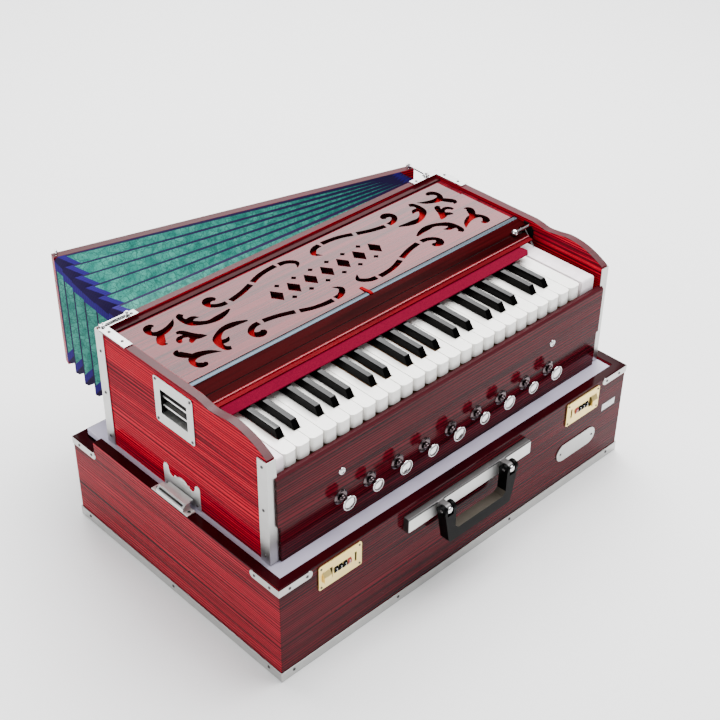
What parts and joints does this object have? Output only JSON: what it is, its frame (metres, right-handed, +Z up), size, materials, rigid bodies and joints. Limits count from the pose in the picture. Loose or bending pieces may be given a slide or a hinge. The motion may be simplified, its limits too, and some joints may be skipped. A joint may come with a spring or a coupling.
{
  "type": "suitcase harmonium",
  "caption": "Hand-pumped reed organ in glossy red laminate, raised on its carrying case, with a pierced scrollwork top, felt-backed keyboard, pull stops and side-opening pleated bellows.",
  "frame": {"origin": "middle of the footprint of the whole object, on the ground", "axes": "+X to the player's right, +Y away from the player towards the bellows, +Z up"},
  "size_m": [0.668, 0.5928, 0.3431],
  "materials": {
    "case laminate": "high gloss red grained laminate",
    "cabinet laminate": "high gloss bright red grained laminate",
    "dark laminate": "high gloss dark red stain",
    "chest wood": "bare wood",
    "platform paint": "satin lilac white paint",
    "aluminium trim": "satin",
    "chrome fittings": "polished",
    "steel bolts": "brushed",
    "lock brass": "pale satin",
    "handle plastic": "fine leather grain",
    "white key plastic": "glossy cream",
    "black key plastic": "glossy black",
    "block plastic": "satin white",
    "crimson felt": "woven felt",
    "marbled paper": "teal marbled paper with dark veins and purple cloth edges"
  },
  "bodies": {
    "case": {"case_body": "case laminate", "case_base_trim": "aluminium trim", "handle_bar": "chrome fittings", "name_plate": "aluminium trim", "lock_left": "lock brass", "lock_right": "lock brass", "latch_left": "chrome fittings", "latch_right": "chrome fittings"},
    "instrument": {"lift_platform": "platform paint", "cheek_left": "cabinet laminate", "cheek_right": "cabinet laminate", "post_front_left": "aluminium trim", "post_front_right": "aluminium trim", "post_back_left": "aluminium trim", "post_back_right": "aluminium trim", "wind_chest": "chest wood", "back_wall": "cabinet laminate", "front_board": "cabinet laminate", "key_frame": "white key plastic", "end_block_left": "block plastic", "end_block_right": "block plastic", "felt_strip": "crimson felt", "cover_rail": "dark laminate", "cover_strip": "aluminium trim", "pierced_panel": "cabinet laminate", "rear_rail": "dark laminate", "lever_plate": "handle plastic", "side_grip_left": "aluminium trim", "side_grip_right": "aluminium trim", "bellows_folds": "marbled paper"},
    "carry_handle": {"carry_handle": "handle plastic"},
    "lock_slide_left": {"lock_slide_left": "lock brass"},
    "lock_slide_right": {"lock_slide_right": "lock brass"},
    "latch_bolt_left": {"latch_bolt_left": "steel bolts"},
    "latch_bolt_right": {"latch_bolt_right": "steel bolts"},
    "stop_1": {"stop_1": "chrome fittings"},
    "stop_2": {"stop_2": "chrome fittings"},
    "stop_3": {"stop_3": "chrome fittings"},
    "stop_4": {"stop_4": "chrome fittings"},
    "stop_5": {"stop_5": "chrome fittings"},
    "stop_6": {"stop_6": "chrome fittings"},
    "stop_7": {"stop_7": "chrome fittings"},
    "stop_8": {"stop_8": "chrome fittings"},
    "stop_9": {"stop_9": "chrome fittings"},
    "key_c": {"key_c": "white key plastic"},
    "key_d": {"key_d": "white key plastic"},
    "key_e": {"key_e": "white key plastic"},
    "key_f": {"key_f": "white key plastic"},
    "key_g": {"key_g": "white key plastic"},
    "key_a": {"key_a": "white key plastic"},
    "key_b": {"key_b": "white key plastic"},
    "key_c_sharp": {"key_c_sharp": "black key plastic"},
    "key_d_sharp": {"key_d_sharp": "black key plastic"},
    "key_f_sharp": {"key_f_sharp": "black key plastic"},
    "key_g_sharp": {"key_g_sharp": "black key plastic"},
    "key_a_sharp": {"key_a_sharp": "black key plastic"},
    "lever": {"lever": "chrome fittings"},
    "bellows_board": {"bellows_board": "cabinet laminate"},
    "hook_left": {"hook_left": "chrome fittings"},
    "hook_right": {"hook_right": "chrome fittings"}
  },
  "joints": [
    {"name": "instrument_lift", "type": "slide", "parent": "case", "child": "instrument", "axis": [0, 0, 1], "range_m": [-0.012, 0]},
    {"name": "handle_swing", "type": "hinge", "parent": "case", "child": "carry_handle", "pos_m": [-0.006, -0.28838, 0.138], "axis": [1, 0, 0], "range_deg": [-90, 8]},
    {"name": "lock_slide_left_push", "type": "slide", "parent": "case", "child": "lock_slide_left", "axis": [1, 0, 0], "range_m": [0, 0.004], "stiffness_N_per_m": 200, "springref_m": -0.002},
    {"name": "latch_bolt_left_draw", "type": "slide", "parent": "case", "child": "latch_bolt_left", "axis": [-1, 0, 0], "range_m": [0, 0.004]},
    {"name": "lock_slide_right_push", "type": "slide", "parent": "case", "child": "lock_slide_right", "axis": [-1, 0, 0], "range_m": [0, 0.004], "stiffness_N_per_m": 200, "springref_m": -0.002},
    {"name": "latch_bolt_right_draw", "type": "slide", "parent": "case", "child": "latch_bolt_right", "axis": [1, 0, 0], "range_m": [0, 0.004]},
    {"name": "stop_1_pull", "type": "slide", "parent": "instrument", "child": "stop_1", "axis": [0, -1, 0], "range_m": [0, 0.015]},
    {"name": "stop_2_pull", "type": "slide", "parent": "instrument", "child": "stop_2", "axis": [0, -1, 0], "range_m": [0, 0.015]},
    {"name": "stop_3_pull", "type": "slide", "parent": "instrument", "child": "stop_3", "axis": [0, -1, 0], "range_m": [0, 0.015]},
    {"name": "stop_4_pull", "type": "slide", "parent": "instrument", "child": "stop_4", "axis": [0, -1, 0], "range_m": [0, 0.015]},
    {"name": "stop_5_pull", "type": "slide", "parent": "instrument", "child": "stop_5", "axis": [0, -1, 0], "range_m": [0, 0.015]},
    {"name": "stop_6_pull", "type": "slide", "parent": "instrument", "child": "stop_6", "axis": [0, -1, 0], "range_m": [0, 0.015]},
    {"name": "stop_7_pull", "type": "slide", "parent": "instrument", "child": "stop_7", "axis": [0, -1, 0], "range_m": [0, 0.015]},
    {"name": "stop_8_pull", "type": "slide", "parent": "instrument", "child": "stop_8", "axis": [0, -1, 0], "range_m": [0, 0.015]},
    {"name": "stop_9_pull", "type": "slide", "parent": "instrument", "child": "stop_9", "axis": [0, -1, 0], "range_m": [0, 0.015]},
    {"name": "key_c_press", "type": "hinge", "parent": "instrument", "child": "key_c", "pos_m": [-0.11685, -0.00938, 0.291], "axis": [1, 0, 0], "range_deg": [0, 1.9], "stiffness_Nm_per_rad": 1, "springref_deg": -9.17},
    {"name": "key_d_press", "type": "hinge", "parent": "instrument", "child": "key_d", "pos_m": [-0.09515, -0.00938, 0.291], "axis": [1, 0, 0], "range_deg": [0, 1.9], "stiffness_Nm_per_rad": 1, "springref_deg": -9.17},
    {"name": "key_e_press", "type": "hinge", "parent": "instrument", "child": "key_e", "pos_m": [-0.07345, -0.00938, 0.291], "axis": [1, 0, 0], "range_deg": [0, 1.9], "stiffness_Nm_per_rad": 1, "springref_deg": -9.17},
    {"name": "key_f_press", "type": "hinge", "parent": "instrument", "child": "key_f", "pos_m": [-0.05175, -0.00938, 0.291], "axis": [1, 0, 0], "range_deg": [0, 1.9], "stiffness_Nm_per_rad": 1, "springref_deg": -9.17},
    {"name": "key_g_press", "type": "hinge", "parent": "instrument", "child": "key_g", "pos_m": [-0.03005, -0.00938, 0.291], "axis": [1, 0, 0], "range_deg": [0, 1.9], "stiffness_Nm_per_rad": 1, "springref_deg": -9.17},
    {"name": "key_a_press", "type": "hinge", "parent": "instrument", "child": "key_a", "pos_m": [-0.00835, -0.00938, 0.291], "axis": [1, 0, 0], "range_deg": [0, 1.9], "stiffness_Nm_per_rad": 1, "springref_deg": -9.17},
    {"name": "key_b_press", "type": "hinge", "parent": "instrument", "child": "key_b", "pos_m": [0.01335, -0.00938, 0.291], "axis": [1, 0, 0], "range_deg": [0, 1.9], "stiffness_Nm_per_rad": 1, "springref_deg": -9.17},
    {"name": "key_c_sharp_press", "type": "hinge", "parent": "instrument", "child": "key_c_sharp", "pos_m": [-0.10817, -0.00938, 0.291], "axis": [1, 0, 0], "range_deg": [0, 1.9], "stiffness_Nm_per_rad": 1, "springref_deg": -9.17},
    {"name": "key_d_sharp_press", "type": "hinge", "parent": "instrument", "child": "key_d_sharp", "pos_m": [-0.08321, -0.00938, 0.291], "axis": [1, 0, 0], "range_deg": [0, 1.9], "stiffness_Nm_per_rad": 1, "springref_deg": -9.17},
    {"name": "key_f_sharp_press", "type": "hinge", "parent": "instrument", "child": "key_f_sharp", "pos_m": [-0.04459, -0.00938, 0.291], "axis": [1, 0, 0], "range_deg": [0, 1.9], "stiffness_Nm_per_rad": 1, "springref_deg": -9.17},
    {"name": "key_g_sharp_press", "type": "hinge", "parent": "instrument", "child": "key_g_sharp", "pos_m": [-0.0192, -0.00938, 0.291], "axis": [1, 0, 0], "range_deg": [0, 1.9], "stiffness_Nm_per_rad": 1, "springref_deg": -9.17},
    {"name": "key_a_sharp_press", "type": "hinge", "parent": "instrument", "child": "key_a_sharp", "pos_m": [0.00554, -0.00938, 0.291], "axis": [1, 0, 0], "range_deg": [0, 1.9], "stiffness_Nm_per_rad": 1, "springref_deg": -9.17},
    {"name": "lever_lift", "type": "hinge", "parent": "instrument", "child": "lever", "pos_m": [0.289, -0.09438, 0.3288], "axis": [1, 0, 0], "range_deg": [-50, 0]},
    {"name": "bellows_swing", "type": "hinge", "parent": "instrument", "child": "bellows_board", "pos_m": [0.2895, 0.13852, 0.2458], "axis": [0, 0, 1], "range_deg": [0, 15.7], "deforming": ["bellows_folds"]},
    {"name": "hook_left_turn", "type": "hinge", "parent": "instrument", "child": "hook_left", "pos_m": [-0.2645, 0.09982, 0.3394], "axis": [0, 0, 1], "range_deg": [-87, 0]},
    {"name": "hook_right_turn", "type": "hinge", "parent": "instrument", "child": "hook_right", "pos_m": [0.2875, 0.09982, 0.3394], "axis": [0, 0, 1], "range_deg": [-87, 0]}
  ]
}
